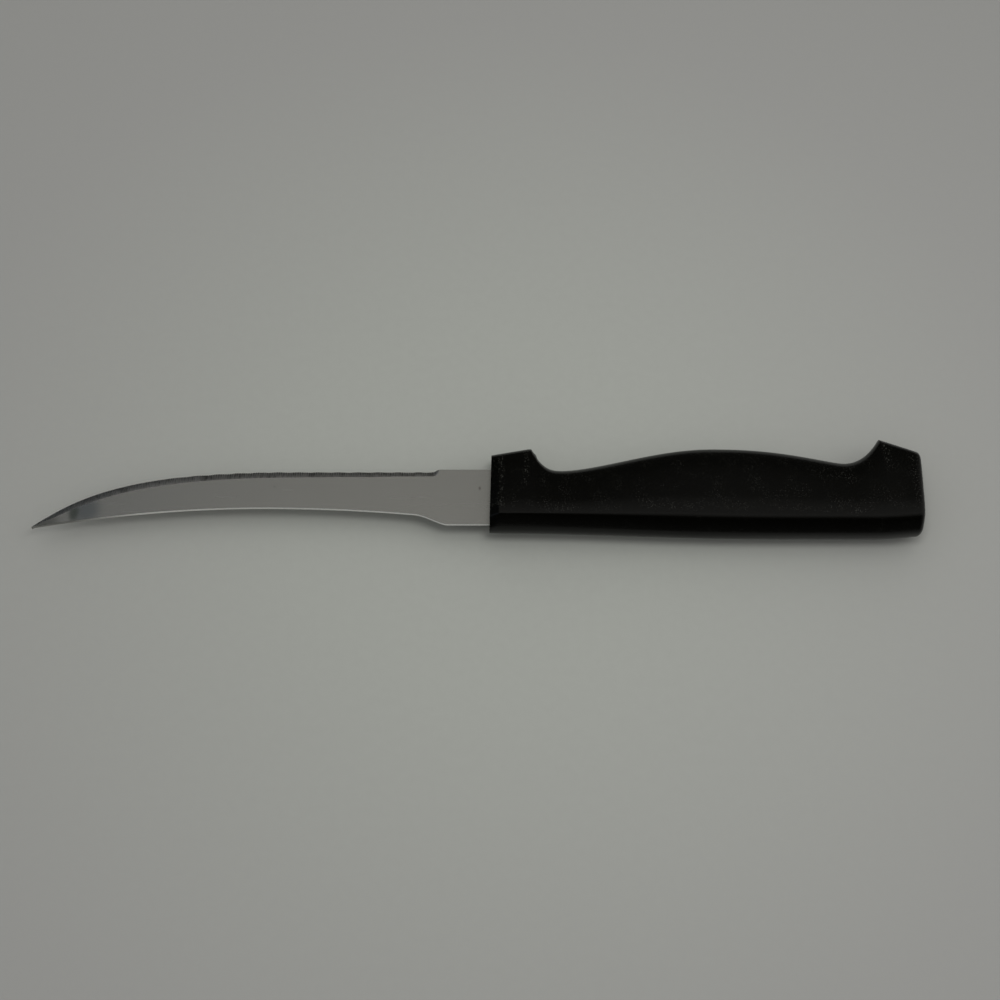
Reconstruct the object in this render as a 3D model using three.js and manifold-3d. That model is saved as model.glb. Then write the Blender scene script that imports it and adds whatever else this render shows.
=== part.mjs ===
// A slim kitchen knife with an upswept, scalloped blade and a black handle moulded round its tang.
//
// The knife lies on its side. In the drawing frame x runs from the handle's front face (x = 0) towards the
// butt, so the blade is at negative x. y runs from the blade's spine at the ricasso (y = 0) towards the
// cutting edge. z = 0 is the middle plane of the blade, which is also the handle's parting plane. At the end
// of the file the knife is moved so that its origin is the centre of its underside. Sizes are millimetres.

import * as THREE from "three";
import { mergeVertices } from "three/addons/utils/BufferGeometryUtils.js";
import Module from "manifold-3d";

// Blade: sheet and outline. A "reach" is a distance ahead of the handle's front face.
const bladeLength = 120.2;
const bladeThickness = 1.1;
const ricassoHeight = 15.57;
const ricassoLength = 13.3;
const heelStep = 0.5; // the ground edge lies this far inside the ricasso's edge
const heelStepLength = 1.9;
const edgeStraight = 40; // straight stretch of the edge after the heel step
const edgeBelly = 8; // even sweep of the edge down to the point
const pointDrop = 0.8; // the point lies this far below the ricasso's spine
const pointSweepPower = 5.2; // how late the rest of the sweep comes
const pointWidth = 0.3;
const spineStepReach = 10.6;
const spineStepLength = 8.4;
const spineStepHeight = 2.8;
const spineCrestHeight = 4.7;
const spineCrestRun = 41; // from the end of the spine's step to its crest

// Blade: scalloped edge and its ground bevel
const scallopPitch = 5.4;
const scallopDepth = 0.2;
const plainPointLength = 36.7; // the edge has no scallops this close to the point
const bevelWidth = 1.4;
const edgeThickness = 0.16;

// Tang, hidden in the handle
const heelInset = 3; // the blade's full height goes this far into the handle
const tangLength = 76;
const tangHeight = 9;
const tangRise = 2.6; // from the spine line to the tang's lower edge
const tangCorner = 2;
const anchorDiameter = 5;
const anchorInset = 22; // from the front face to the first anchor hole
const anchorEndInset = 20; // from the last anchor hole to the tang's end
const anchorCount = 2;
const mouldGap = 0.3;

// Handle: lengths of its stretches, from the front face to the butt
const guardLength = 10.75;
const guardHookLength = 8.55;
const frontSwellLength = 40.2;
const rearSwellLength = 34.7;
const pommelHookLength = 10.4;
const pommelLength = 10.6;

// Handle: its finger side, as plastic over the steel at the front and then as rises from waist to crest
const frontCover = 4.3; // over the blade, at the front face
const guardRise = 1.8; // from the front face to the guard's tip
const waistCover = 3.65; // over the tang, at the front waist
const swellRise = 6.2; // from the front waist to the palm swell's crest
const rearWaistRise = 2.1; // from the front waist to the rear waist
const pommelRise = 7; // from the rear waist to the pommel's tip
const pommelFall = 3.6; // from the pommel's tip to the butt

// Handle: its spine side, as depths below the spine line
const frontDepth = 1.45;
const deepestDepth = 3.7;
const buttDepth = 2.2;

// Handle: thickness and rounding
const handleThickness = 11;
const fingerRound = 12;
const spineRoundEnds = 4;
const spineRoundMiddle = 5.4;
const sideFlatLeast = 1.5;
const frontChamferLength = 2.4;
const frontChamferDepth = 1.5;
const frontLean = 0.5; // the front face's finger side stands back by this
const buttLean = 1.5; // the butt's spine side stands in by this
const buttFlat = 3.6; // thickness of the butt between its rounded edges
const buttFingerCorner = 0.9;
const buttSpineCorner = 2.5;

// Shape of the handle's curves: how early or late each one rises
const guardHookPower = 2.75;
const pommelHookPower = 2.25;
const frontSwellLean = 0.86;
const rearSwellLean = 2.3;
const rearWaistTurn = 1.3; // how tightly the swell turns into the rear waist
const spineLean = 0.9;
const buttRisePower = 1.6;

// Steps along each stretch and curve
const ricassoSteps = 2;
const guardSteps = 3;
const scallopSteps = 6;
const pointSteps = 18;
const stepSteps = 5;
const arcSteps = 7;
const hookSteps = 8;
const swellSteps = 13;
const cornerSteps = 5;
const holeSteps = 20;

const wasm = await Module();
wasm.setup();

const leastStep = 0.01;
const weldDistance = 1e-4;
const clamp01 = (s) => Math.min(Math.max(s, 0), 1);
const smooth = (s) => clamp01(s) ** 2 * (3 - 2 * clamp01(s));
const stretch = (from, to, count) =>
  Array.from({ length: count }, (_, i) => from + ((to - from) * i) / count);

// A closed solid through rings of equal point counts, each convex and running counterclockwise seen from +x.
function loft(rings) {
  const size = rings[0].length;
  const positions = rings.flat().flatMap((p) => [p.x, p.y, p.z]);
  const index = [];
  for (let i = 0; i + 1 < rings.length; i++) {
    for (let j = 0; j < size; j++) {
      const [a, b] = [i * size + j, i * size + ((j + 1) % size)];
      index.push(a, b, a + size, b, b + size, a + size);
    }
  }
  const last = (rings.length - 1) * size;
  for (let j = 1; j + 1 < size; j++) {
    index.push(0, j + 1, j);
    index.push(last, last + j, last + j + 1);
  }
  const geometry = new THREE.BufferGeometry();
  geometry.setAttribute("position", new THREE.Float32BufferAttribute(positions, 3));
  return geometry.setIndex(index);
}

// A flat outline made into a plate with its middle at z = 0.
function plate(shape, thickness) {
  const geometry = new THREE.ExtrudeGeometry(shape, {
    depth: thickness,
    bevelEnabled: false,
    curveSegments: holeSteps,
  });
  return geometry.translate(0, 0, -thickness / 2);
}

function toSolid(geometry) {
  const bare = geometry.clone();
  bare.deleteAttribute("normal");
  bare.deleteAttribute("uv");
  const merged = mergeVertices(bare, weldDistance);
  return new wasm.Manifold(
    new wasm.Mesh({
      numProp: 3,
      vertProperties: merged.attributes.position.array,
      triVerts: new Uint32Array(merged.index.array),
    }),
  );
}

function toGeometry(solid) {
  const made = solid.getMesh();
  const geometry = new THREE.BufferGeometry();
  geometry.setAttribute("position", new THREE.BufferAttribute(made.vertProperties, 3));
  geometry.setIndex(new THREE.BufferAttribute(made.triVerts, 1));
  geometry.computeVertexNormals();
  return geometry;
}

// Blade outline
const edgeStart = ricassoLength + heelStepLength;
const edgeLine = ricassoHeight - heelStep;
const bellyStart = edgeStart + edgeStraight;
const pointSweep = edgeLine + pointDrop - edgeBelly;
const spineCrestReach = spineStepReach + spineStepLength + spineCrestRun;
const scallopEnd = bladeLength - plainPointLength;
const scallopCount = Math.max(Math.round((scallopEnd - ricassoLength) / scallopPitch), 1);

function edgeHeight(reach) {
  const s = clamp01((reach - bellyStart) / (bladeLength - bellyStart));
  const step = heelStep * (1 - smooth((reach - ricassoLength) / heelStepLength));
  return edgeLine + step - edgeBelly * s ** 2 - pointSweep * s ** pointSweepPower;
}

function scallopCut(reach) {
  const s = clamp01((reach - ricassoLength) / (scallopEnd - ricassoLength));
  return scallopDepth * Math.sin(Math.PI * scallopCount * s) ** 2;
}

function spineHeight(reach) {
  if (reach > spineCrestReach) {
    const s = (reach - spineCrestReach) / (bladeLength - spineCrestReach);
    return spineCrestHeight - (spineCrestHeight + pointDrop) * s ** 2;
  }
  const s = (spineCrestReach - reach) / spineCrestRun;
  const arc = spineCrestHeight - (spineCrestHeight - spineStepHeight) * s ** 2;
  return arc * smooth((reach - spineStepReach) / spineStepLength);
}

// A six-sided section of the blade: flat faces, and a bevel on both sides of the cutting edge.
function bladeRing(reach) {
  const flat = bladeThickness / 2;
  const ground = smooth((reach - ricassoLength) / heelStepLength);
  const edge = flat + (edgeThickness / 2 - flat) * ground;
  const top = edgeHeight(reach);
  const spine = Math.min(spineHeight(reach), top - pointWidth);
  const bevel = top - Math.min(bevelWidth, (top - spine) / 2);
  const at = (y, z) => new THREE.Vector3(-reach, y, z);
  const cut = top - Math.min(scallopCut(reach), (top - bevel) / 2);
  return [
    at(spine, -flat),
    at(bevel, -flat),
    at(cut, -edge),
    at(cut, edge),
    at(bevel, flat),
    at(spine, flat),
  ];
}

// The tang with the blade's heel, as an outline that can be grown all round to make the cavity for it.
const tangTop = tangRise + tangHeight;
const anchorRun = tangLength - anchorInset - anchorEndInset;

function tangShape(grow) {
  const [low, high] = [tangRise - grow, tangTop + grow];
  const [shoulder, end] = [heelInset + grow, tangLength + grow];
  const corner = Math.min(tangCorner + grow, (high - low) / 2);
  const shape = new THREE.Shape();
  shape.moveTo(-heelInset, -grow);
  shape.lineTo(shoulder, -grow);
  shape.lineTo(shoulder, low);
  shape.lineTo(end - corner, low);
  shape.absarc(end - corner, low + corner, corner, -Math.PI / 2, 0);
  shape.absarc(end - corner, high - corner, corner, 0, Math.PI / 2);
  shape.lineTo(shoulder, high);
  shape.lineTo(shoulder, ricassoHeight + grow);
  shape.lineTo(-heelInset, ricassoHeight + grow);
  for (let i = 0; i < anchorCount; i++) {
    const hole = new THREE.Path();
    const x = anchorInset + (anchorRun * i) / Math.max(anchorCount - 1, 1);
    hole.absarc(x, (tangRise + tangTop) / 2, anchorDiameter / 2 - grow, 0, 2 * Math.PI);
    shape.holes.push(hole);
  }
  return shape;
}

function makeBlade() {
  const reaches = [
    -heelInset / 2,
    ...stretch(0, spineStepReach, ricassoSteps),
    ...stretch(spineStepReach, ricassoLength, ricassoSteps),
    ...stretch(ricassoLength, edgeStart, stepSteps),
    ...stretch(ricassoLength, scallopEnd, scallopCount * scallopSteps),
    ...stretch(scallopEnd, bladeLength, pointSteps),
    bladeLength,
  ];
  const inOrder = reaches.sort((a, b) => b - a);
  const rings = inOrder.filter((r, i) => i === 0 || inOrder[i - 1] - r > leastStep).map(bladeRing);
  const blade = toSolid(loft(rings));
  return toGeometry(blade.add(toSolid(plate(tangShape(0), bladeThickness))));
}

// Handle outline
const guardTip = guardLength;
const frontWaist = guardTip + guardHookLength;
const swellCrest = frontWaist + frontSwellLength;
const rearWaist = swellCrest + rearSwellLength;
const pommelTip = rearWaist + pommelHookLength;
const handleLength = pommelTip + pommelLength;

const frontHeight = ricassoHeight + frontCover;
const guardHeight = frontHeight + guardRise;
const frontWaistHeight = tangTop + waistCover;
const swellHeight = frontWaistHeight + swellRise;
const rearWaistHeight = frontWaistHeight + rearWaistRise;
const pommelHeight = rearWaistHeight + pommelRise;
const buttRound = (handleThickness - buttFlat) / 2;

// How far a round corner of the butt has drawn in at x.
function buttDraw(radius, x) {
  const into = Math.max(x - (handleLength - radius), 0);
  return radius - Math.sqrt(Math.max(radius ** 2 - into ** 2, 0));
}

function fingerHeight(x) {
  if (x < guardTip) return frontHeight + ((guardHeight - frontHeight) * x) / guardLength;
  if (x < frontWaist) {
    const s = (frontWaist - x) / guardHookLength;
    return frontWaistHeight + (guardHeight - frontWaistHeight) * s ** guardHookPower;
  }
  if (x < swellCrest) {
    const s = smooth(((x - frontWaist) / frontSwellLength) ** frontSwellLean);
    return frontWaistHeight + (swellHeight - frontWaistHeight) * s;
  }
  if (x < rearWaist) {
    const along = (x - swellCrest) / rearSwellLength;
    const s = 1 - (1 - along ** rearSwellLean) ** rearWaistTurn;
    return swellHeight + (rearWaistHeight - swellHeight) * s;
  }
  if (x < pommelTip) {
    const s = (x - rearWaist) / pommelHookLength;
    return rearWaistHeight + (pommelHeight - rearWaistHeight) * s ** pommelHookPower;
  }
  const fall = (pommelFall * (x - pommelTip)) / pommelLength;
  return pommelHeight - fall - buttDraw(buttFingerCorner, x);
}

function spineDepth(x) {
  if (x < rearWaist) {
    return frontDepth + (deepestDepth - frontDepth) * smooth((x / rearWaist) ** spineLean);
  }
  const s = (x - rearWaist) / (handleLength - rearWaist);
  return deepestDepth + (buttDepth - deepestDepth) * s ** buttRisePower - buttDraw(buttSpineCorner, x);
}

// A section of the handle: a broad round on the finger side, flat sides, and a smaller round at the spine.
// The front chamfer is flat, so it runs out where a round falls away below it.
function handleRing(x) {
  const [top, bottom] = [fingerHeight(x), -spineDepth(x)];
  const half = handleThickness / 2 - buttDraw(buttRound, x);
  const chamfer = frontChamferDepth * Math.max(1 - x / frontChamferLength, 0);
  const height = (a) => Math.min(half * Math.sin(a), handleThickness / 2 - chamfer);
  const fuller = Math.sin(Math.PI * clamp01(x / handleLength));
  const spine = spineRoundEnds + (spineRoundMiddle - spineRoundEnds) * fuller;
  const finger = Math.min(fingerRound, top - bottom - spine - sideFlatLeast);
  const side = [];
  for (let i = 1; i <= arcSteps; i++) {
    const a = (Math.PI / 2) * (i / arcSteps);
    side.push([top - finger * (1 - Math.cos(a)), height(a)]);
  }
  for (let i = cornerSteps; i > 0; i--) {
    const a = (Math.PI / 2) * (i / cornerSteps);
    side.push([bottom + spine * (1 - Math.cos(a)), height(a)]);
  }
  const front = frontLean * clamp01(1 - x / guardLength);
  const butt = buttLean * clamp01((x - pommelTip) / pommelLength);
  const at = (y, z) => {
    const share = (y - bottom) / (top - bottom);
    return new THREE.Vector3(x + front * share - butt * (1 - share), y, z);
  };
  const upper = side.map(([y, z]) => at(y, z));
  const lower = side.reverse().map(([y, z]) => at(y, -z));
  return [at(top, 0), ...upper, at(bottom, 0), ...lower];
}

function makeHandle() {
  const roundStart = handleLength - Math.max(buttRound, buttFingerCorner, buttSpineCorner);
  const stations = [
    0,
    ...stretch(frontChamferLength, guardTip, guardSteps),
    ...stretch(guardTip, frontWaist, hookSteps),
    ...stretch(frontWaist, swellCrest, swellSteps),
    ...stretch(swellCrest, rearWaist, swellSteps),
    ...stretch(rearWaist, pommelTip, hookSteps),
    ...stretch(pommelTip, roundStart, guardSteps),
  ];
  for (let i = 0; i <= cornerSteps; i++) {
    const turn = Math.sin((Math.PI / 2) * (i / cornerSteps));
    stations.push(roundStart + (handleLength - roundStart) * turn);
  }
  const body = toSolid(loft(stations.map(handleRing)));
  const cavity = toSolid(plate(tangShape(mouldGap), bladeThickness + 2 * mouldGap));
  return toGeometry(body.subtract(cavity));
}

const polishedSteel = new THREE.MeshStandardMaterial({
  name: "stainless_steel",
  color: 0x8d8e8a,
  metalness: 1,
  roughness: 0.28,
});
const blackPolypropylene = new THREE.MeshStandardMaterial({
  name: "black_polypropylene",
  color: 0x11110f,
  metalness: 0,
  roughness: 0.5,
});

const blade = new THREE.Mesh(makeBlade(), polishedSteel);
blade.name = "blade";
const handle = new THREE.Mesh(makeHandle(), blackPolypropylene);
handle.name = "handle";

const knife = new THREE.Group();
knife.add(blade, handle);
const box = new THREE.Box3().setFromObject(knife);
const middle = box.getCenter(new THREE.Vector3());
knife.position.set(-middle.x, -middle.y, -box.min.z);

const part = new THREE.Group();
part.add(knife);

export default part;
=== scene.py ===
# %% [markdown]
# # A slim kitchen knife on a table
#
# This knife has two pieces. The blade was stamped from sheet steel, polished, and ground along its edge.
# The handle is black plastic, moulded straight on to the blade's tang, so no screw or rivet shows.
#
# The engineering solids come first. They fix where each piece lies and how big it is, and the finer pieces
# made below take their place. All lengths in the scene are metres.

# %% Load the solids
from math import cos, exp, pi, radians, sin, sqrt

import bmesh
import bpy
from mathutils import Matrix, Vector


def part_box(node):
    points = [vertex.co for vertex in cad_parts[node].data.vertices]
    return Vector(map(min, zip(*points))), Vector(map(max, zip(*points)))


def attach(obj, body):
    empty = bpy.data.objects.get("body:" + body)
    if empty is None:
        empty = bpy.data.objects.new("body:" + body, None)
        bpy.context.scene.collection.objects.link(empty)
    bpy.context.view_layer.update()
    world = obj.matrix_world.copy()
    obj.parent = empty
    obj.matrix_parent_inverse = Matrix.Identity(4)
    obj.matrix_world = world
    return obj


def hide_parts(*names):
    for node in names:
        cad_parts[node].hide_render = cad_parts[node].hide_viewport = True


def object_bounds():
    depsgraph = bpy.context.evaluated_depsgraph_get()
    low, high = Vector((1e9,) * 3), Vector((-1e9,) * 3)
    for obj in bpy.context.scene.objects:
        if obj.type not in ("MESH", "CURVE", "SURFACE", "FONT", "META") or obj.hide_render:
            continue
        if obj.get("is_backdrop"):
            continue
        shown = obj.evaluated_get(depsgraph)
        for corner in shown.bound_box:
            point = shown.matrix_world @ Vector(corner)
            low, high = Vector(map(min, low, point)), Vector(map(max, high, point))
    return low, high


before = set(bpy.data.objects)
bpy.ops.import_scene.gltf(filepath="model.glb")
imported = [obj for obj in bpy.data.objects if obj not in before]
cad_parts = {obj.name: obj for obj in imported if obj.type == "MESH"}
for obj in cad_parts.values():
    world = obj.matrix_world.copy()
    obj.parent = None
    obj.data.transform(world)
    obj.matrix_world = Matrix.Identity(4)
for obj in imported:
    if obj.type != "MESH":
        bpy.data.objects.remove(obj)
solid_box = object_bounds()
solid_size = solid_box[1] - solid_box[0]
print("solids:", sorted(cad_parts), "size in mm:", [round(1000 * v, 1) for v in solid_size])

# %% [markdown]
# ## A drawing in millimetres
#
# A knife maker would draw this flat on paper. So do we: x runs from the front of the handle to the butt,
# y from the spine to the cutting edge, and z stands up from the middle of the sheet. One function carries a
# point of the drawing into the scene. Its origin is read from the solids, so drawing and solids can't drift
# apart.

# %% From the drawing to the scene
MM = 0.001
RICASSO_HEIGHT = 15.57  # the plain stretch of blade next to the handle, from spine to edge
handle_low, handle_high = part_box("handle")
blade_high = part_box("blade")[1]
ORIGIN = (handle_low.x, blade_high.y - RICASSO_HEIGHT * MM, (handle_low.z + handle_high.z) / 2)


def place(x, y, z):
    """A point of the drawing, in millimetres, as a point of the scene, in metres."""
    return (ORIGIN[0] + x * MM, ORIGIN[1] + y * MM, ORIGIN[2] + z * MM)


print("the drawing's origin in mm:", [round(v / MM, 2) for v in ORIGIN])

# %% [markdown]
# ## Smooth steps
#
# Most curves of the knife are built from one shape: level, then a smooth rise, then level again. Two curves
# often meet in a small rounded corner, which a soft minimum gives. With these few helpers an outline is a
# short formula, and it stays smooth however finely the mesh samples it. Curve objects would do as well, but
# their handles are harder to tie to measured lengths.

# %% Clamp, ease and soft minimum
def clamp(s):
    return min(max(s, 0.0), 1.0)


def ease(s):
    """0 below 0, 1 above 1, and a smooth rise between them."""
    s = clamp(s)
    return s * s * (3 - 2 * s)


def soft_min(a, b, blend):
    """The lower of two heights, with the corner between them rounded off."""
    near = max(blend - abs(a - b), 0.0) / blend
    return min(a, b) - near * near * blend / 4


print("an eased step at a quarter, a half and three quarters:", [ease(s / 4) for s in (1, 2, 3)])

# %% [markdown]
# ## Skinning cross sections
#
# Both pieces are long, and their cross section changes slowly along them. A subdivision cage would need many
# control points to follow that, and booleans leave messy faces. Boat builders solve it with frames and
# planking: cut the shape into sections with the same number of points, then join each section to the next.
# The first and last are closed with a flat face, so the skin is a closed body.

# %% Joining sections into a skin
def mirror_round(half):
    """A whole section from its upper half, which runs from z = 0 to z = 0."""
    return half + [(x, y, -z) for x, y, z in reversed(half[1:-1])]


def skin(name, sections, finish_of, crease):
    """A closed mesh over sections of equal point counts. finish_of(section, point) is a material slot."""
    count = len(sections[0])
    points = [place(*p) for section in sections for p in section]
    faces = [list(range(count))]
    slots = [0]
    for i in range(len(sections) - 1):
        for j in range(count):
            k = (j + 1) % count
            faces.append([i * count + j, i * count + k, (i + 1) * count + k, (i + 1) * count + j])
            slots.append(finish_of(i, j))
    last = (len(sections) - 1) * count
    faces.append([last + j for j in range(count)])
    slots.append(0)
    mesh = bpy.data.meshes.new(name)
    mesh.from_pydata(points, [], faces)
    mesh.polygons.foreach_set("material_index", slots)
    work = bmesh.new()
    work.from_mesh(mesh)
    bmesh.ops.recalc_face_normals(work, faces=work.faces)
    work.to_mesh(mesh)
    work.free()
    mesh.shade_smooth()
    mesh.set_sharp_from_angle(angle=radians(crease))
    piece = bpy.data.objects.new(name, mesh)
    bpy.context.scene.collection.objects.link(piece)
    return piece


def spread(start, end, step):
    """Evenly spaced stations from start, up to but without the end."""
    count = max(round(abs(end - start) / step), 1)
    return [start + (end - start) * i / count for i in range(count)]


print("stations from 0 to 1, four of them:", spread(0.0, 1.0, 0.25))

# %% [markdown]
# ## The blade's outline
#
# Seen from the side, the blade starts as a plain band by the handle, the ricasso. Then the spine steps up in
# an S, and the edge steps down a little, where the grinding begins. From there the edge runs straight, and
# sweeps to a high, thin point. The edge is scalloped: shallow waves that bite into a tomato skin. A "reach"
# is the distance ahead of the handle. The power in each formula says how late its curve sets in.

# %% Edge, spine and scallops
BLADE_LENGTH = 120.2
RICASSO_LENGTH = 13.3
HEEL_STEP = 0.5
EDGE_START = RICASSO_LENGTH + 1.9
BELLY_START = EDGE_START + 40.0
EDGE_BELLY = 8.6
POINT_DROP = 0.8
POINT_WIDTH = 0.3
SPINE_STEP = 11.3
SPINE_STEP_LENGTH = 8.7
SPINE_CREST = 60.0
CREST_HEIGHT = 4.7
SPINE_BOW = 1.9  # how far the spine drops over its bow, from the crest back to the step
SPINE_BOW_LENGTH = 41.0
SCALLOP_END = 83.5
SCALLOP_COUNT = 13
SCALLOP_DEPTH = 0.13


def edge_height(reach):
    s = clamp((reach - BELLY_START) / (BLADE_LENGTH - BELLY_START))
    line = RICASSO_HEIGHT - HEEL_STEP * ease((reach - RICASSO_LENGTH) / (EDGE_START - RICASSO_LENGTH))
    sweep = RICASSO_HEIGHT - HEEL_STEP + POINT_DROP - EDGE_BELLY
    return line - EDGE_BELLY * s**2 - sweep * s**5.2


def spine_height(reach):
    if reach > SPINE_CREST:
        s = (reach - SPINE_CREST) / (BLADE_LENGTH - SPINE_CREST)
        arc = CREST_HEIGHT - (CREST_HEIGHT + POINT_DROP) * s**1.93
        return min(arc, edge_height(reach) - POINT_WIDTH)
    arc = CREST_HEIGHT - SPINE_BOW * ((SPINE_CREST - reach) / SPINE_BOW_LENGTH) ** 2
    return arc * ease(clamp((reach - SPINE_STEP) / SPINE_STEP_LENGTH) ** 0.75)


def scallop_cut(reach):
    s = clamp((reach - RICASSO_LENGTH) / (SCALLOP_END - RICASSO_LENGTH))
    return SCALLOP_DEPTH * sin(pi * SCALLOP_COUNT * s) ** 2


blade_heights = [round(edge_height(r) - spine_height(r), 1) for r in (5, 60, 115)]
print("blade height in mm at the ricasso, mid-blade and near the point:", blade_heights)

# %% [markdown]
# ## Teeth and bevel
#
# On the scallops the grinding wheel left finer teeth, and each tooth's valley runs on as a groove over the
# bevel. On the real blade they are about half a millimetre apart; here they are a little coarser, so that
# they show. They are real geometry, since they break up the edge's outline. A slow beat between two waves
# wears some of them down. The bevel itself is slightly convex, because a wheel presses harder at the edge.

# %% Tooth and bevel shapes
TOOTH_PITCH = 0.62
TOOTH_DEPTH = 0.2
TOOTH_END = 80.0
GROOVE_DEPTH = 0.05
BEVEL_STEPS = (0.0, 0.12, 0.3, 0.5, 0.75, 1.0)
BEVEL_FALL = 0.47  # how far the sheet is ground away at the edge, on each side


def toothed(reach):
    """1 along the toothed stretch, fading out toward heel and point."""
    return ease((reach - EDGE_START) / 1.5) * ease((TOOTH_END - reach) / 8.0)


def tooth(reach):
    """0 on a tooth's tip, 1 in the valley between two."""
    worn_down = 0.8 + 0.2 * sin(1.7 * reach) * sin(0.61 * reach)
    return toothed(reach) * worn_down * abs(sin(pi * reach / TOOTH_PITCH))


def bevel_width(reach):
    """The bevel widens in two easy steps toward mid-blade, and narrows at the point."""
    wide = 1.45 + 0.2 * ease((reach - 22.0) / 12.0) + 0.2 * ease((reach - 40.0) / 22.0)
    return wide - 0.7 * ease((reach - 108.0) / 12.0)


print("bevel width in mm at heel, mid-blade and point:", [round(bevel_width(r), 2) for r in (15, 60, 118)])

# %% [markdown]
# ## The blade's sections
#
# Each section runs once round the sheet: middle of the spine, over the face, down the bevel to the edge, and
# back on the other side. The spine's corners are a little rounded, as the polishing wheel leaves them. Behind
# the handle's front the same sections go on as the heel and the tang, which sit in the plastic and hold the
# blade. Stations lie close together where the teeth are, six to a tooth, and far apart on the plain tang.

# %% Blade sections
SHEET = 1.1
HEEL_INSET = 3.0
TANG_LENGTH = 76.0
TANG_LOW = 2.6
TANG_HIGH = 11.6
TANG_CORNER = 2.0
CORNER = 0.1  # rounding of the sheet's stamped corners
FACE_STEPS = (0.0, 0.02, 0.35, 0.7, 0.95, 0.98)


def blade_section(reach, low=None, high=None):
    flat = SHEET / 2
    ground = ease((reach - RICASSO_LENGTH) / (EDGE_START - RICASSO_LENGTH))
    spine = spine_height(reach) if low is None else low
    line = edge_height(reach) if high is None else high
    width = min(bevel_width(reach), (line - spine) * 0.45)
    cut = line - min(scallop_cut(reach) + TOOTH_DEPTH * (tooth(reach) - 0.4), width * 0.5)
    shoulder = line - width
    corner = min(CORNER, (line - spine) * 0.2)
    fall = min(BEVEL_FALL, 0.36 * width + 0.02) * ground
    half = [(spine, 0.0), (spine, flat - corner), (spine + 0.3 * corner, flat - 0.3 * corner)]
    half += [(spine + corner + (shoulder - spine - corner) * s, flat) for s in FACE_STEPS]
    tip = min(corner, 0.5 * (flat - fall)) if ground < 1 else 0.02
    for u in BEVEL_STEPS:
        groove = GROOVE_DEPTH * tooth(reach) * u
        convex = 0.55 * u + 0.45 * u * u
        half.append((shoulder + (cut - tip - shoulder) * u, flat - fall * convex - groove))
    half += [(cut, max(half[-1][1] - tip, 0.01)), (cut, 0.0)]
    return mirror_round([(-reach, y, z) for y, z in half])


stations = spread(BLADE_LENGTH, TOOTH_END, 0.4) + spread(TOOTH_END, EDGE_START, TOOTH_PITCH / 6)
stations += spread(EDGE_START, RICASSO_LENGTH, 0.1) + spread(RICASSO_LENGTH, 0.0, 0.45)
stations += [0.0, -HEEL_INSET]
blade_sections = [blade_section(r) for r in stations]
tang_round = TANG_LENGTH - TANG_CORNER
for r in spread(HEEL_INSET, tang_round, 6.0) + spread(tang_round, TANG_LENGTH, 0.3):
    rounded = TANG_CORNER - sqrt(TANG_CORNER**2 - max(r - TANG_LENGTH + TANG_CORNER, 0.0) ** 2)
    blade_sections.append(blade_section(-r, TANG_LOW + rounded, TANG_HIGH - rounded))
print("blade sections:", len(blade_sections), "with", len(blade_sections[0]), "points each")

# %% [markdown]
# ## Three finishes on one sheet
#
# The sheet's face is polished, its bevel ground, and its spine left as the stamping tool cut it. A strip of
# skin knows its place in the section, so it can say which of the three it has; no painting is needed. The
# bevel's finish starts just past the heel, where the grinding has some depth. Each point also gets a number
# that is high in the valley of a tooth and a little below zero on its tip. The bevel's material reads it as
# painted shade in the valleys and a painted highlight on the tips.

# %% Blade mesh
FACE, BEVEL, STAMPED = 0, 1, 2
SPINE_STRIPS = 2
SHOULDER_STRIP = 8
GROUND_START = RICASSO_LENGTH + 0.65
half_count = len(blade_sections[0]) // 2


def blade_finish(section, point):
    """Which of the blade's three finishes a strip of its skin has."""
    across = min(point, 2 * half_count - 1 - point)
    ground = section < len(stations) and stations[section] > GROUND_START
    if across < SPINE_STRIPS:
        return STAMPED
    if across > SHOULDER_STRIP and ground:
        return BEVEL
    return FACE


blade = skin("blade_skin", blade_sections, blade_finish, 7)
# Painted shade and highlight: high in a tooth's valley, painted darker, and below zero on its tip, painted
# lighter.
tooth_shade_and_highlight = []
for i, section in enumerate(blade_sections):
    tooth_shade = tooth(stations[i]) - 0.3 * toothed(stations[i]) if i < len(stations) else 0.0
    for j in range(len(section)):
        across = min(j, len(section) - j)
        tooth_shade_and_highlight.append(tooth_shade * clamp((across - SHOULDER_STRIP - 2) / 3.5))
blade.data.attributes.new("groove", "FLOAT", "POINT").data.foreach_set("value", tooth_shade_and_highlight)
print("blade faces:", len(blade.data.polygons))

# %% [markdown]
# ## Colours and nodes
#
# Colours are written as sRGB hex codes, the numbers that a colour picker shows. Shader sockets want linear
# values, so one function converts them. A second small function adds a node, gives it its settings, and links
# or sets its inputs. It keeps a node tree readable from top to bottom.

# %% Helpers for materials
def colour(code):
    """An sRGB hex code as linear red, green, blue and alpha."""
    parts = [int(code[i : i + 2], 16) / 255 for i in (1, 3, 5)]
    return [c / 12.92 if c <= 0.04045 else ((c + 0.055) / 1.055) ** 2.4 for c in parts] + [1.0]


def add(tree, kind, inputs, **settings):
    """A new node. inputs maps a socket's name or number to a value, or to another node's output."""
    made = tree.nodes.new(kind)
    for name, value in settings.items():
        setattr(made, name, value)
    for socket, value in inputs.items():
        if isinstance(value, bpy.types.NodeSocket):
            tree.links.new(value, made.inputs[socket])
        else:
            made.inputs[socket].default_value = value
    return made


def new_material(name):
    """A material with an empty node tree, and a node output with each point's place in metres."""
    made = bpy.data.materials.new(name)
    made.use_nodes = True
    made.node_tree.nodes.clear()
    where = add(made.node_tree, "ShaderNodeTexCoord", {}).outputs["Object"]
    return made, made.node_tree, where


print("mid grey is", round(colour("#808080")[0], 3), "in linear light")

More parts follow.
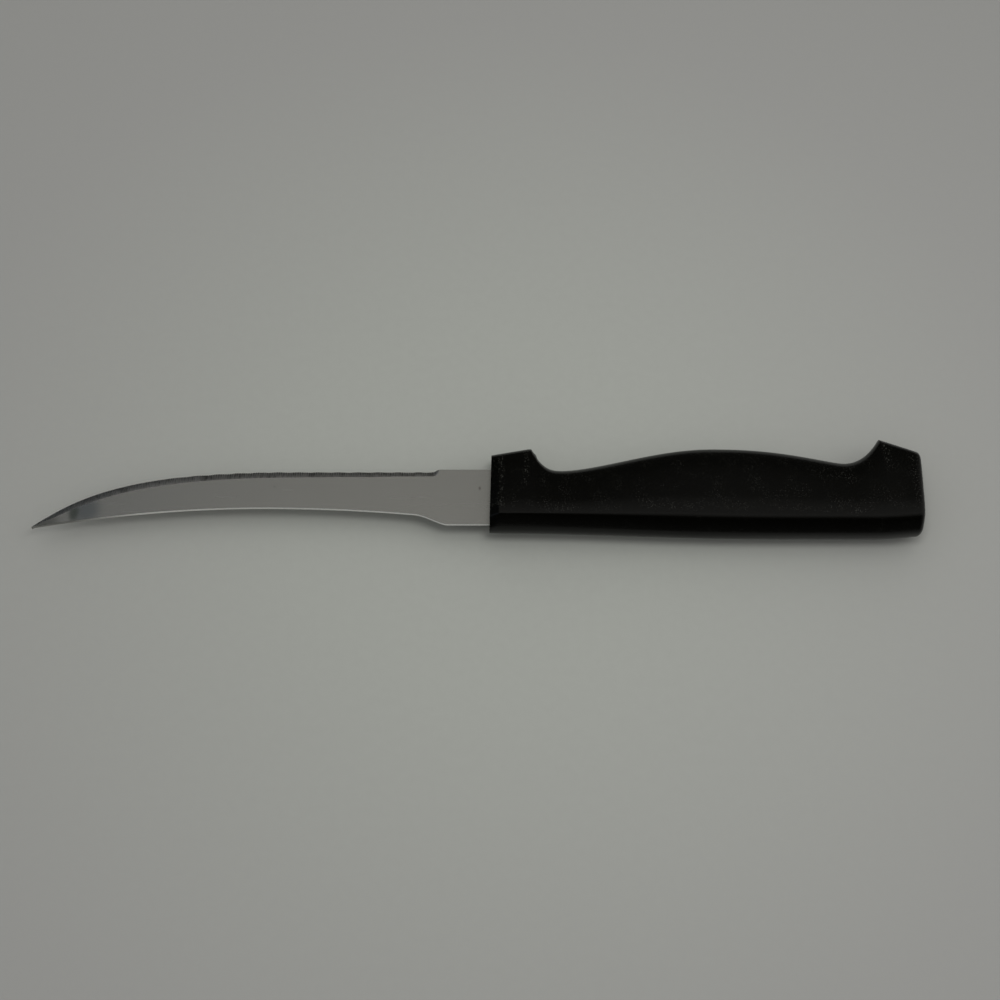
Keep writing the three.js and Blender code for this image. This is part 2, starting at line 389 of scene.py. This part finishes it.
# %% [markdown]
# ## Polished sheet steel
#
# Stainless sheet for cheap knives is rolled, then polished with a fine belt that runs along the blade. To the
# eye it is a soft mirror: it shows the light above as a broad even tone, with faint streaks along its length.
# So the metal is mid grey with a medium-low roughness, and a stretched noise moves both by a few percent. An
# image of brushed metal would do the same, but a noise can be sized in millimetres and has no edges.

# %% Stainless steel, belt polished
steel_face, tree, where = new_material("stainless_steel_belt_polished")
STREAK_WIDTH = 0.35 * MM  # belt streaks are finer, but would not show in the picture
STREAK_LENGTH = 25 * MM
CLOUD = 9 * MM
streak_scale = (1 / STREAK_LENGTH, 1 / STREAK_WIDTH, 1 / STREAK_WIDTH)
stretched = add(tree, "ShaderNodeMapping", {"Vector": where, "Scale": streak_scale})
streaks = add(tree, "ShaderNodeTexNoise", {"Vector": stretched.outputs[0], "Scale": 1.0, "Detail": 3.0})
cloud = add(tree, "ShaderNodeTexNoise", {"Vector": where, "Scale": 1 / CLOUD, "Detail": 2.0})
tone = add(tree, "ShaderNodeMath", {0: streaks.outputs["Fac"], 1: cloud.outputs["Fac"]}, operation="ADD")
share = add(tree, "ShaderNodeMapRange", {"Value": tone.outputs[0], "From Min": 0.7, "From Max": 1.3})
metal = add(tree, "ShaderNodeMix",
            {0: share.outputs[0], 6: colour("#9e9e99"), 7: colour("#a0a09b")}, data_type="RGBA")
print("streaks:", STREAK_LENGTH / MM, "by", STREAK_WIDTH / MM, "mm")

# %% [markdown]
# ## Rust, and painted shade on the blade
#
# A spot of rust by the handle is a mark of use. The other patches are painted shade and reflection: a dark
# dot for a small nick in mid-blade, and darker patches near the thin point that stand in for a dark part of
# the room reflected there. Each is a soft ellipse of another colour. Its distance from a centre, measured in
# its own half widths, says how much of that colour shows.

# %% Rust, and painted shade and reflection
RUST_AND_SHADE_MARKS = (
    (place(-2.6, 10.2, 0.55), (0.4, 0.6, 0.9), "#4a4038", 0.5),
    # Painted shade: a dark dot for a small nick.
    (place(-57.1, 10.7, 0.55), (0.3, 0.3, 0.9), "#55554f", 0.6),
    # Painted reflection: darker patches near the point stand in for a dark part of the room reflected there.
    (place(-106.6, 4.2, 0.55), (4.6, 4.6, 0.9), "#6f7577", 0.75),
    (place(-109.6, 3.4, 0.55), (1.6, 3.4, 0.9), "#565d56", 0.8),
    (place(-117.6, 0.6, 0.55), (5.2, 3.0, 0.9), "#767772", 0.9),
)
surface = metal.outputs[2]
for centre, size, code, strength in RUST_AND_SHADE_MARKS:
    offset = add(tree, "ShaderNodeVectorMath", {0: where, 1: centre}, operation="SUBTRACT")
    per_size = [1 / (s * MM) for s in size]
    scaled = add(tree, "ShaderNodeVectorMath", {0: offset.outputs[0], 1: per_size}, operation="MULTIPLY")
    away = add(tree, "ShaderNodeVectorMath", {0: scaled.outputs[0]}, operation="LENGTH")
    patch = add(tree, "ShaderNodeMapRange",
                {"Value": away.outputs["Value"], "From Min": 0.3, "From Max": 1.2,
                 "To Min": strength, "To Max": 0.0}, interpolation_type="SMOOTHSTEP")
    stain_and_shade = add(tree, "ShaderNodeMix", {0: patch.outputs[0], 6: surface, 7: colour(code)}, data_type="RGBA")
    surface = stain_and_shade.outputs[2]
print("marks:", len(RUST_AND_SHADE_MARKS))

# %% [markdown]
# ## The polished face's shine
#
# The streaks also move the gloss, and lift the surface by a hair. A pure metal would be black wherever the
# room is dark. This face is a little less than pure metal, since fine scratches scatter some light to every
# side, so it stays grey from all round.

# %% Shading of the polished face
gloss = add(tree, "ShaderNodeMapRange", {"Value": streaks.outputs["Fac"], "To Min": 0.26, "To Max": 0.28})
relief = add(tree, "ShaderNodeBump",
             {"Height": streaks.outputs["Fac"], "Strength": 0.01, "Distance": 0.02 * MM})
shader = add(tree, "ShaderNodeBsdfPrincipled",
             {"Base Color": surface, "Metallic": 0.85, "Roughness": gloss.outputs[0],
              "Normal": relief.outputs[0]})
add(tree, "ShaderNodeOutputMaterial", {"Surface": shader.outputs[0]})
print("polished face:", len(tree.nodes), "nodes")

# %% [markdown]
# ## Ground bevel
#
# A grinding wheel runs across the edge and leaves short scratches over the bevel, from shoulder to edge. They
# scatter the light, so the bevel is rougher than the face, and its noise is stretched across the blade. The
# valleys of the teeth get painted shade, a darker metal colour, and the tips of the teeth a painted
# highlight.
# Spots where the wheel burnt the steel are darker too. Since the bevel slopes toward a darker part of the
# room, it looks dark although its metal is bright.

# %% Stainless steel, wheel ground
steel_bevel, tree, where = new_material("stainless_steel_wheel_ground")
SCRATCH_WIDTH = 0.25 * MM  # a grinding wheel's scratches are finer, but would not show
SCRATCH_LENGTH = 2.0 * MM
BURN = 2.2 * MM
scratch_scale = (1 / SCRATCH_WIDTH, 1 / SCRATCH_LENGTH, 1 / SCRATCH_LENGTH)
stretched = add(tree, "ShaderNodeMapping", {"Vector": where, "Scale": scratch_scale})
scratches = add(tree, "ShaderNodeTexNoise", {"Vector": stretched.outputs[0], "Scale": 1.0, "Detail": 3.0})
share = add(tree, "ShaderNodeMapRange",
            {"Value": scratches.outputs["Fac"], "From Min": 0.1, "From Max": 0.6})
burn = add(tree, "ShaderNodeTexNoise", {"Vector": where, "Scale": 1 / BURN, "Detail": 2.0})
burnt = add(tree, "ShaderNodeMapRange",
            {"Value": burn.outputs["Fac"], "From Min": 0.54, "From Max": 0.7, "To Max": -0.4})
# Painted shade in the valleys of the teeth and a painted highlight on their tips, read from the mesh.
groove = add(tree, "ShaderNodeAttribute", {}, attribute_name="groove")
tone_with_tooth_shade = add(tree, "ShaderNodeMath",
          {0: groove.outputs["Fac"], 1: -1.1, 2: share.outputs[0]}, operation="MULTIPLY_ADD")
clean = add(tree, "ShaderNodeMath",
            {0: tone_with_tooth_shade.outputs[0], 1: burnt.outputs[0]}, operation="ADD", use_clamp=True)
metal = add(tree, "ShaderNodeMix",
            {0: clean.outputs[0], 6: colour("#8e8e8a"), 7: colour("#fdfdf9")}, data_type="RGBA")
gloss = add(tree, "ShaderNodeMapRange", {"Value": scratches.outputs["Fac"], "To Min": 0.28, "To Max": 0.44})
relief = add(tree, "ShaderNodeBump",
             {"Height": scratches.outputs["Fac"], "Strength": 0.2, "Distance": 0.02 * MM})
shader = add(tree, "ShaderNodeBsdfPrincipled",
             {"Base Color": metal.outputs[2], "Metallic": 1.0, "Roughness": gloss.outputs[0],
              "Normal": relief.outputs[0]})
add(tree, "ShaderNodeOutputMaterial", {"Surface": shader.outputs[0]})
print("bevel:", len(tree.nodes), "nodes")

# %% [markdown]
# ## Stamped spine
#
# The spine is the sheet's cut side. It was only deburred, so it is bright, frosted metal that catches light
# from all round, with fine marks across it from the stamping tool. Toward the point its colour turns darker.
# Its metallic value is low because a frosted cut scatters most of what it gets.

# %% Stainless steel, stamped and deburred
steel_spine, tree, where = new_material("stainless_steel_stamped")
MARK_PITCH = 0.3 * MM
DARKER_FROM = place(-92, 0, 0)[0]
DARKEST_FROM = place(-110, 0, 0)[0]
marks = add(tree, "ShaderNodeTexNoise", {"Vector": where, "Scale": 1 / MARK_PITCH, "Detail": 2.0})
share = add(tree, "ShaderNodeMapRange", {"Value": marks.outputs["Fac"], "From Min": 0.35, "From Max": 0.65})
frosted = add(tree, "ShaderNodeMix",
              {0: share.outputs[0], 6: colour("#dededa"), 7: colour("#f2f2ee")}, data_type="RGBA")
along = add(tree, "ShaderNodeSeparateXYZ", {"Vector": where})
thin = add(tree, "ShaderNodeMapRange",
           {"Value": along.outputs["X"], "From Min": DARKEST_FROM, "From Max": DARKER_FROM,
            "To Min": 1.0, "To Max": 0.0})
metal = add(tree, "ShaderNodeMix",
            {0: thin.outputs[0], 6: frosted.outputs[2], 7: colour("#7d7d79")}, data_type="RGBA")
gloss = add(tree, "ShaderNodeMapRange", {"Value": marks.outputs["Fac"], "To Min": 0.38, "To Max": 0.5})
shader = add(tree, "ShaderNodeBsdfPrincipled",
             {"Base Color": metal.outputs[2], "Metallic": 0.3, "Roughness": gloss.outputs[0]})
add(tree, "ShaderNodeOutputMaterial", {"Surface": shader.outputs[0]})
print("spine:", len(tree.nodes), "nodes")

# %% [markdown]
# ## Putting the blade in its place
#
# The finished blade stands for the solid of the same name. Three calls say so: it gets its three finishes, it
# moves with the knife's one body, and the plain solid is hidden behind it.

# %% Blade in place
for finish in (steel_face, steel_bevel, steel_spine):
    blade.data.materials.append(finish)
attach(blade, "root")
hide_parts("blade")
print("blade finishes:", [m.name for m in blade.data.materials])

# %% [markdown]
# ## The handle's outline
#
# The finger side rises to a hooked guard, drops to a waist for the index finger, swells to fill the palm,
# drops again and ends in a hooked pommel. The spine side bellies gently. As with the blade, each stretch is a
# formula, and the stretches meet end to end. Only the two hooks have tight corners, which a moulding tool
# cuts easily.

# %% Finger side and spine side
GUARD_TIP = 11.15
GUARD_FRONT_HEIGHT = 19.74
GUARD_RISE = 1.8
GUARD_RISE_LENGTH = 10.3
FRONT_WAIST = 19.3
FRONT_WAIST_HEIGHT = 15.15
SWELL_CREST = 59.5
SWELL_HEIGHT = 21.53
REAR_WAIST = 94.2
REAR_WAIST_HEIGHT = 17.3
POMMEL_TIP = 104.6
POMMEL_HEIGHT = 24.35
HANDLE_LENGTH = 115.2
BUTT_DROP = 3.9
BELLY_FRONT = 2.08
BELLY_DEPTH = 3.7
BELLY_LENGTH = 80.0
BELLY_END = 101.0


def butt_draw(corner, x):
    """How far a rounded edge of the butt has drawn in at x."""
    into = max(x - HANDLE_LENGTH + corner, 0.0)
    return corner - sqrt(max(corner**2 - into**2, 0.0))


def finger_side(x):
    if x < FRONT_WAIST:
        guard = GUARD_FRONT_HEIGHT + GUARD_RISE * min(x / GUARD_RISE_LENGTH, 1.0)
        hook = FRONT_WAIST_HEIGHT + 6.52 * ((FRONT_WAIST - x) / (FRONT_WAIST - GUARD_TIP)) ** 2.8
        return soft_min(guard, hook, 0.5)
    if x < SWELL_CREST:
        along = (x - FRONT_WAIST) / (SWELL_CREST - FRONT_WAIST)
        return FRONT_WAIST_HEIGHT + (SWELL_HEIGHT - FRONT_WAIST_HEIGHT) * ease(along**0.86)
    if x < REAR_WAIST:
        along = (x - SWELL_CREST) / (REAR_WAIST - SWELL_CREST)
        return SWELL_HEIGHT - (SWELL_HEIGHT - REAR_WAIST_HEIGHT) * (1 - (1 - along**2.3) ** 1.3)
    hook_rise = POMMEL_HEIGHT - REAR_WAIST_HEIGHT
    hook = REAR_WAIST_HEIGHT + hook_rise * ((x - REAR_WAIST) / (POMMEL_TIP - REAR_WAIST)) ** 2.25
    slope = BUTT_DROP * (x - POMMEL_TIP) / (HANDLE_LENGTH - POMMEL_TIP)
    return soft_min(hook, POMMEL_HEIGHT - slope - butt_draw(0.9, x), 0.25)


def spine_side(x):
    deep = BELLY_FRONT + 1.85 * ease((x / BELLY_LENGTH) ** 0.95)
    rise = clamp((x - BELLY_END) / (HANDLE_LENGTH - BELLY_END))
    return 0.85 * rise**1.4 + butt_draw(1.6, x) - soft_min(deep, BELLY_DEPTH, 0.3)


places = (GUARD_TIP, FRONT_WAIST, SWELL_CREST, POMMEL_TIP)
handle_heights = [round(finger_side(x) - spine_side(x), 1) for x in places]
print("handle height in mm at guard, waist, swell and pommel:", handle_heights)

# %% [markdown]
# ## The shape across the handle
#
# Across, each side of the handle starts level at its broadest line and bends down to the seam, where the two
# halves of the mould met. The finger side is nearly flat, with a tight edge on the two hooks and a rounder
# one along the grip. The spine side has a clear corner, a slanting facet below it and an upright wall.
#
# A pencil can draw such a shape in legs: so many millimetres while the line turns to such a slope. Each leg
# below is a length and its last slope in degrees. Ellipses were tried first, but their reflections were too
# even, since in plastic it is the slope that the eye sees.

# %% Legs of the two sides
HOOK_LEGS = ((3.0, 4.6), (1.6, 7.6), (6.0, 8.2), (4.6, 9.3), (4.6, 13),
             (1.2, 31), (1.2, 51), (1.6, 87), (0.2, 90))
GRIP_LEGS = ((3.5, 4.6), (1.4, 7.4), (4.4, 8), (3.4, 9.5), (2.6, 15),
             (2.0, 31), (2.0, 51), (1.8, 87), (0.2, 90))
LEG_STEPS = 6


def finger_legs(x):
    """The finger side's legs at x: those of a hook, those of the grip, or a blend of the two."""
    grip = ease((x - GUARD_TIP) / 6) * ease((POMMEL_TIP - x) / 6)
    return [[h + (g - h) * grip for h, g in zip(*pair)] for pair in zip(HOOK_LEGS, GRIP_LEGS)]


def spine_legs(x):
    """The spine side's legs at x: its corner is tight at the guard and softens toward the palm."""
    soft = ease(x / 55)
    upright = 70 + 7 * ease((x - 50) / 30)
    corner = ((0.15 + 0.4 * soft, 10), (0.45 + 1.05 * soft, 43 - 3 * soft))
    return corner + ((3.1, 57 - 2 * soft), (1.0, upright), (1.3, 88.5), (0.2, 90))


def section_curve(legs):
    """A curve from the broadest line to the seam, as shares of its depth and height, and depth by height."""
    y, z, slope = 0.0, 0.0, 0.0
    curve = [(y, z)]
    for length, end in legs:
        for i in range(LEG_STEPS):
            angle = radians(slope + (end - slope) * (i + 0.5) / LEG_STEPS)
            y += length / LEG_STEPS * cos(angle)
            z += length / LEG_STEPS * sin(angle)
            curve.append((y, z))
        slope = end
    return [(a / y, 1 - b / z) for a, b in curve], y / z


slims = [round(section_curve(spine_legs(x))[1], 2) for x in (0, 30, 80)]
print("depth by height of the spine side at front, grip and rear:", slims)

# %% [markdown]
# ## The handle's sections
#
# A fine raised line runs all round where the mould closed, and behind the guard's tip the mould left a small
# nib of flash. The front has a flat chamfer that leads down to the blade. The skin starts inside, round the
# tang, comes out through the front face and goes on over the outside, so the slot needs no boolean.

# %% Outside and slot
HALF_THICK = 5.5
CHAMFER_LENGTH = 2.4
CHAMFER_DEPTH = 1.5
SEAM_HEIGHT = 0.03
SEAM_WIDTH = 0.11
BUTT_ROUND = 2.2
FLASH_HEIGHT = 0.7
FLASH_START = 11.4
FLASH_END = 12.75
FLASH_WIDTH = 2.0
SLACK = 0.02  # room round the tang, so that steel and plastic don't share a face


def lean(x, y):
    """The front face leans back at the finger side, and the butt leans in at the spine side."""
    share = clamp((y - spine_side(x)) / (finger_side(x) - spine_side(x)))
    front = 0.5 * clamp(1 - x / GUARD_TIP) * share
    butt = 1.6 * clamp((x - POMMEL_TIP) / (HANDLE_LENGTH - POMMEL_TIP)) * (1 - share)
    return x + front - butt


def handle_section(x):
    half_thick = HALF_THICK - butt_draw(BUTT_ROUND, x)
    top = finger_side(x) - SEAM_HEIGHT
    low = spine_side(x) + SEAM_HEIGHT
    flash = FLASH_HEIGHT * ease(x - FLASH_START) * ease((FLASH_END - x) / 0.25)
    spine_curve, slimness = section_curve(spine_legs(x))
    finger_curve = section_curve(finger_legs(x))[0][::-1]
    broadest = low + HALF_THICK * slimness
    half = []
    for curve, reach in ((finger_curve, top - broadest), (spine_curve[1:], low - broadest)):
        for out, up in curve:
            chamfer = clamp(1 - x / (CHAMFER_LENGTH * (0.6 + 0.4 * up)))
            z = (half_thick - CHAMFER_DEPTH * chamfer * up) * up
            seam = SEAM_HEIGHT * exp(-((z / SEAM_WIDTH) ** 2))
            nib = flash * exp(-((z / FLASH_WIDTH) ** 2))
            y = broadest + reach * out + (seam + nib if reach > 0 else -seam)
            half.append((lean(x, y), y, z))
    return mirror_round(half)


def slot_section(x, low, high):
    """The slot round the tang, with as many points as the outside."""
    room = (SHEET + SLACK) / 2
    count = len(handle_section(0.0)) // 2 + 1
    half = []
    for i in range(count):
        s = i / (count - 1)
        y = high - (high - low) * clamp((s - 0.05) / 0.9)
        half.append((lean(x, y) if x == 0 else x, y, room * clamp(min(s, 1 - s) / 0.05)))
    return mirror_round(half)


print("points in a handle section:", len(handle_section(0.0)))

# %% [markdown]
# ## Skinning the handle
#
# Sections lie closest at the front chamfer, the guard's tip, the flash, the pommel's tip and the rounded
# butt, where the shape changes fast. At the butt they bunch up with a sine, as points do on a quarter circle,
# so that the rounding has even steps.

# %% Handle mesh
BUTT_ZONE = 2.5
slot_sections = [
    slot_section(TANG_LENGTH + SLACK, TANG_LOW, TANG_HIGH),
    slot_section(HEEL_INSET + SLACK, TANG_LOW, TANG_HIGH),
    slot_section(HEEL_INSET + SLACK, -SLACK, RICASSO_HEIGHT + SLACK),
    slot_section(0.0, -SLACK, RICASSO_HEIGHT + SLACK),
]
outside = spread(0.0, 3.2, 0.1) + spread(3.2, GUARD_TIP - 0.4, 0.5)
outside += spread(GUARD_TIP - 0.4, GUARD_TIP + 0.4, 0.1) + spread(GUARD_TIP + 0.4, 14.0, 0.12)
outside += spread(14.0, POMMEL_TIP - 0.4, 0.55) + spread(POMMEL_TIP - 0.4, POMMEL_TIP + 0.4, 0.1)
outside += spread(POMMEL_TIP + 0.4, HANDLE_LENGTH - BUTT_ZONE, 0.5)
outside += [HANDLE_LENGTH - BUTT_ZONE + BUTT_ZONE * sin(pi / 2 * i / 16) for i in range(17)]
handle_sections = slot_sections + [handle_section(x) for x in outside]
handle = skin("handle_moulding", handle_sections, lambda section, point: 0, 26)
print("handle sections:", len(handle_sections), "faces:", len(handle.data.polygons))

# %% [markdown]
# ## Where hands have worn it
#
# Edges of black plastic go grey first. A painted mask would need a brush; here each point of the mesh gets a
# number, high along the chamfer's ridge, the two hooks and the butt's rim, and lower in the palm. The
# material reads it as an attribute.

# %% Wear, as a number on each point
def bump_at(x, centre, width):
    """1 at the centre, falling to nothing within a few widths."""
    return exp(-(((x - centre) / width) ** 2))


def wear_at(x, y):
    side = clamp((y - spine_side(x)) / (finger_side(x) - spine_side(x)))
    ridge = bump_at(x, CHAMFER_LENGTH + 0.5, 0.9) * ease((side - 0.2) / 0.1)
    guard = bump_at(x, GUARD_TIP - 1.5, 0.9) * ease((side - 0.4) / 0.2)
    pommel = bump_at(x, POMMEL_TIP + 1.2, 1.0) * ease((side - 0.55) / 0.2)
    rim = 0.6 * bump_at(x, HANDLE_LENGTH - 2.4, 1.4) * ease((side - 0.2) / 0.1)
    palm = ease((side - 0.2) / 0.06) * (0.17 + 0.2 * bump_at(side, 0.27, 0.1))
    return max(min(ridge + guard + pommel + rim, 1.0), palm)


worn = [0.0] * (len(slot_sections) * len(slot_sections[0]))
for x, section in zip(outside, handle_sections[len(slot_sections):]):
    worn += [wear_at(x, y) for _, y, _ in section]
handle.data.attributes.new("wear", "FLOAT", "POINT").data.foreach_set("value", worn)
print("points with wear:", sum(w > 0.1 for w in worn), "of", len(worn))

# %% [markdown]
# ## Moulded black polypropylene
#
# Polypropylene coloured with carbon black is a deep, slightly waxy black. The mould's etched skin leaves a
# fine pebble on it, which spreads reflections into a satin sheen. Handling leaves pale specks, more of them
# along the edges, and tiny pits. Specks and pits share one cell pattern: a cell's own random grey decides
# which of the two it holds, if any. Its IOR is 1.49, and the pebble halves the mirror part of its shine.

# %% Polypropylene, moulded with an etched skin
plastic, tree, where = new_material("polypropylene_moulded_black")
PEBBLE = 0.5 * MM  # an etched pebble is finer, but would not show
SPECK = 0.36 * MM
PATCH = 5 * MM
pebble = add(tree, "ShaderNodeTexNoise",
             {"Vector": where, "Scale": 1 / PEBBLE, "Detail": 2.0, "Roughness": 0.6})
specks = add(tree, "ShaderNodeTexVoronoi", {"Vector": where, "Scale": 1 / SPECK})
patches = add(tree, "ShaderNodeTexNoise", {"Vector": where, "Scale": 1 / PATCH, "Detail": 1.0})
wear = add(tree, "ShaderNodeAttribute", {}, attribute_name="wear")
handled = add(tree, "ShaderNodeMath",
              {0: patches.outputs["Fac"], 1: 1.2, 2: wear.outputs["Fac"]}, operation="MULTIPLY_ADD")
share = add(tree, "ShaderNodeMapRange", {"Value": handled.outputs[0], "From Min": 0.7, "From Max": 1.6})
dots = add(tree, "ShaderNodeMapRange",
           {"Value": specks.outputs["Distance"], "From Min": 0.15, "From Max": 0.45,
            "To Min": 1.0, "To Max": 0.0})
some = add(tree, "ShaderNodeMapRange", {"Value": specks.outputs["Color"], "From Min": 0.45, "From Max": 0.7})
few = add(tree, "ShaderNodeMapRange", {"Value": specks.outputs["Color"], "From Min": 0.4, "From Max": 0.28})
sparse = add(tree, "ShaderNodeMath", {0: dots.outputs[0], 1: some.outputs[0]}, operation="MULTIPLY")
pits = add(tree, "ShaderNodeMath", {0: dots.outputs[0], 1: few.outputs[0]}, operation="MULTIPLY")
pale = add(tree, "ShaderNodeMath", {0: sparse.outputs[0], 1: share.outputs[0]}, operation="MULTIPLY")
print("pebble", PEBBLE / MM, "mm, specks", SPECK / MM, "mm")

# %% [markdown]
# ## The plastic's shine
#
# The specks only change the colour. Pebble and pits go into a bump, since the eye sees them by how they turn
# reflections aside, and the pebble also moves the gloss.

# %% Shading of the plastic
black = add(tree, "ShaderNodeMix",
            {0: pale.outputs[0], 6: colour("#030302"), 7: colour("#42423d")}, data_type="RGBA")
gloss = add(tree, "ShaderNodeMapRange", {"Value": pebble.outputs["Fac"], "To Min": 0.13, "To Max": 0.24})
pitted = add(tree, "ShaderNodeMath",
             {0: pits.outputs[0], 1: -1.6, 2: pebble.outputs["Fac"]}, operation="MULTIPLY_ADD")
relief = add(tree, "ShaderNodeBump", {"Height": pitted.outputs[0], "Strength": 1.0, "Distance": 0.012 * MM})
shader = add(tree, "ShaderNodeBsdfPrincipled",
             {"Base Color": black.outputs[2], "Roughness": gloss.outputs[0], "IOR": 1.49,
              "Specular IOR Level": 0.25, "Normal": relief.outputs[0]})
add(tree, "ShaderNodeOutputMaterial", {"Surface": shader.outputs[0]})
handle.data.materials.append(plastic)
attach(handle, "root")
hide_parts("handle")
print("handle material:", len(tree.nodes), "nodes")

# %% [markdown]
# ## The table
#
# The knife lies on a plain pale grey board. It only has to be matt, with a hint of unevenness, so that it
# does not look like empty space. Its colour also holds painted light: near the knife it is a trace brighter
# and greener than further out, a painted pool of lamplight that fades toward the edges.

# %% Painted board
FLOOR_SIZE = 4.0
MOTTLE = 2.5 * MM
edge = FLOOR_SIZE / 2
corners = [(-edge, -edge, 0), (edge, -edge, 0), (edge, edge, 0), (-edge, edge, 0)]
table_mesh = bpy.data.meshes.new("table")
table_mesh.from_pydata(corners, [], [(0, 1, 2, 3)])
table = bpy.data.objects.new("table", table_mesh)
bpy.context.scene.collection.objects.link(table)
paint, tree, where = new_material("board_painted_matt")
mottle = add(tree, "ShaderNodeTexNoise", {"Vector": where, "Scale": 1 / MOTTLE, "Detail": 3.0})
near = add(tree, "ShaderNodeMix",
           {0: mottle.outputs["Fac"], 6: colour("#979993"), 7: colour("#9b9d97")}, data_type="RGBA")
away = add(tree, "ShaderNodeVectorMath", {0: where}, operation="LENGTH")
# Painted light: further out the colour turns darker and less green, a painted falloff of the lamp's pool.
painted_falloff = add(tree, "ShaderNodeMapRange",
          {"Value": away.outputs["Value"], "From Min": 0.05, "From Max": 0.16, "To Max": 0.7})
painted_pool = add(tree, "ShaderNodeMix",
           {0: painted_falloff.outputs[0], 6: near.outputs[2], 7: colour("#949391")}, data_type="RGBA")
shader = add(tree, "ShaderNodeBsdfPrincipled",
             {"Base Color": painted_pool.outputs[2], "Roughness": 0.9, "Specular IOR Level": 0.1})
add(tree, "ShaderNodeOutputMaterial", {"Surface": shader.outputs[0]})
table_mesh.materials.append(paint)
table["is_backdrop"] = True
print("table:", FLOOR_SIZE, "m square")

# %% [markdown]
# ## A soft box
#
# A product photographer hangs a soft box over the table. It gives the soft shadow below the spine. A round
# area lamp does the same here. It is kept out of reflections, where it would be a hard white disk.

# %% Soft box over the table
soft_box = bpy.data.lights.new("soft_box", "AREA")
soft_box.shape = "DISK"
soft_box.size = 0.09
soft_box.energy = 0.17
lamp = bpy.data.objects.new("soft_box", soft_box)
lamp.location = (0.05, -0.01, 0.25)
lamp.visible_glossy = False
bpy.context.scene.collection.objects.link(lamp)
print("soft box:", soft_box.size, "m wide,", lamp.location.z, "m up")

# %% [markdown]
# ## Ceiling, window and doorway
#
# Most of the light comes from the room: a white ceiling, a window beyond the cutting edge, and a doorway at
# the butt. A sun lamp with a very wide angle stands for a whole patch of wall, and leaves hardly any shadow.

# %% Wide light from the walls
def wall_light(name, towards, spread_angle, energy):
    """A very wide sun: light from a whole patch of wall, kept out of reflections."""
    wall = bpy.data.lights.new(name, "SUN")
    wall.angle = radians(spread_angle)
    wall.energy = energy
    made = bpy.data.objects.new(name, wall)
    made.rotation_euler = Vector(towards).to_track_quat("Z", "Y").to_euler()
    made.visible_glossy = False
    bpy.context.scene.collection.objects.link(made)
    return wall


walls = [
    wall_light("ceiling", (0, 0, 1), 170, 1.42),
    wall_light("window", (0, 0.75, 0.65), 70, 0.55),
    wall_light("doorway", (0.9, 0, 0.4), 50, 0.42),
]
print("wall lights:", [(w.name, round(w.energy, 2)) for w in walls])

# %% [markdown]
# ## What the steel reflects
#
# Polished steel shows the room rather than its own colour: pale above and toward the edge side, dark on the
# spine's side. The world gives that room, as a level of grey by direction. A photographed room would bring
# in things that aren't on this table, so a few smooth ramps along the axes are enough.

# %% The room, by direction
room = bpy.data.worlds.new("room")
bpy.context.scene.world = room
room.use_nodes = True
tree = room.node_tree
tree.nodes.clear()
direction = add(tree, "ShaderNodeTexCoord", {}).outputs["Generated"]
axes = add(tree, "ShaderNodeSeparateXYZ", {"Vector": direction})


def ramp(axis, start, end, low, high):
    """A smooth change from one level to another between two places on an axis of the room."""
    return add(tree, "ShaderNodeMapRange",
               {"Value": axes.outputs[axis], "From Min": start, "From Max": end,
                "To Min": low, "To Max": high}, interpolation_type="SMOOTHSTEP").outputs[0]


def joined(operation, one, other):
    """Two levels, multiplied or otherwise joined."""
    return add(tree, "ShaderNodeMath", {0: one, 1: other}, operation=operation).outputs[0]


aside = ramp("X", -0.48, -0.14, 0.1, 1.0)
upper = joined("MULTIPLY", ramp("Y", -0.5, 0.15, 0.0, 1.0), ramp("Y", 0.27, 0.72, 0.443, 0.05))
upper = joined("MULTIPLY", upper, aside)
left_wall = joined("MULTIPLY", ramp("X", -0.75, -0.4, 0.3, 0.0), ramp("Y", -0.15, 0.25, 1.0, 0.15))
left_wall = joined("MULTIPLY", left_wall, ramp("Y", -0.5, -0.2, 0.1, 1.0))
right_wall = ramp("X", 0.5, 0.85, 0.0, 0.15)
front_wall = joined("MULTIPLY", ramp("Z", 0.05, 0.6, 0.05, 0.0), ramp("Y", -0.8, -0.3, 1.0, 0.0))
side_walls = joined("MAXIMUM", left_wall, right_wall)
level = joined("MAXIMUM", joined("MAXIMUM", upper, front_wall), side_walls)
air = add(tree, "ShaderNodeMix", {0: aside, 6: colour("#dce8ff"), 7: colour("#fffdf8")}, data_type="RGBA")
light = add(tree, "ShaderNodeBackground", {"Color": air.outputs[2], "Strength": level})
add(tree, "ShaderNodeOutputWorld", {"Surface": light.outputs[0]})
print("room:", len(tree.nodes), "nodes")

# %% [markdown]
# ## Camera
#
# The camera looks down steeply, tilted 22 degrees from straight above, so that a little of the spine shows.
# The picture is square, and the knife fills nearly its whole width.

# %% Camera
TILT = radians(22)
DISTANCE = 0.36404
camera_data = bpy.data.cameras.new("camera")
camera_data.sensor_width = 36
camera_data.angle = radians(40)
camera_data.clip_start = 0.01
camera = bpy.data.objects.new("camera", camera_data)
aim = place(2.77, 7.07, 0)
camera.location = (aim[0], aim[1] - DISTANCE * sin(TILT), aim[2] + DISTANCE * cos(TILT))
camera.rotation_euler = (TILT, 0, 0)
bpy.context.scene.collection.objects.link(camera)
bpy.context.scene.camera = camera
bpy.context.scene.view_settings.view_transform = "Standard"
print("camera:", [round(v, 4) for v in camera.location])

# %% [markdown]
# ## The finished size
#
# The finished pieces must stay in the box of the solids that they stand for. Both sizes are printed: the
# solids' at the start, and the finished pieces' here.

# %% Sizes
visual_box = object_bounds()
visual_size = visual_box[1] - visual_box[0]
print("visual size in mm:", [round(1000 * v, 2) for v in visual_size])
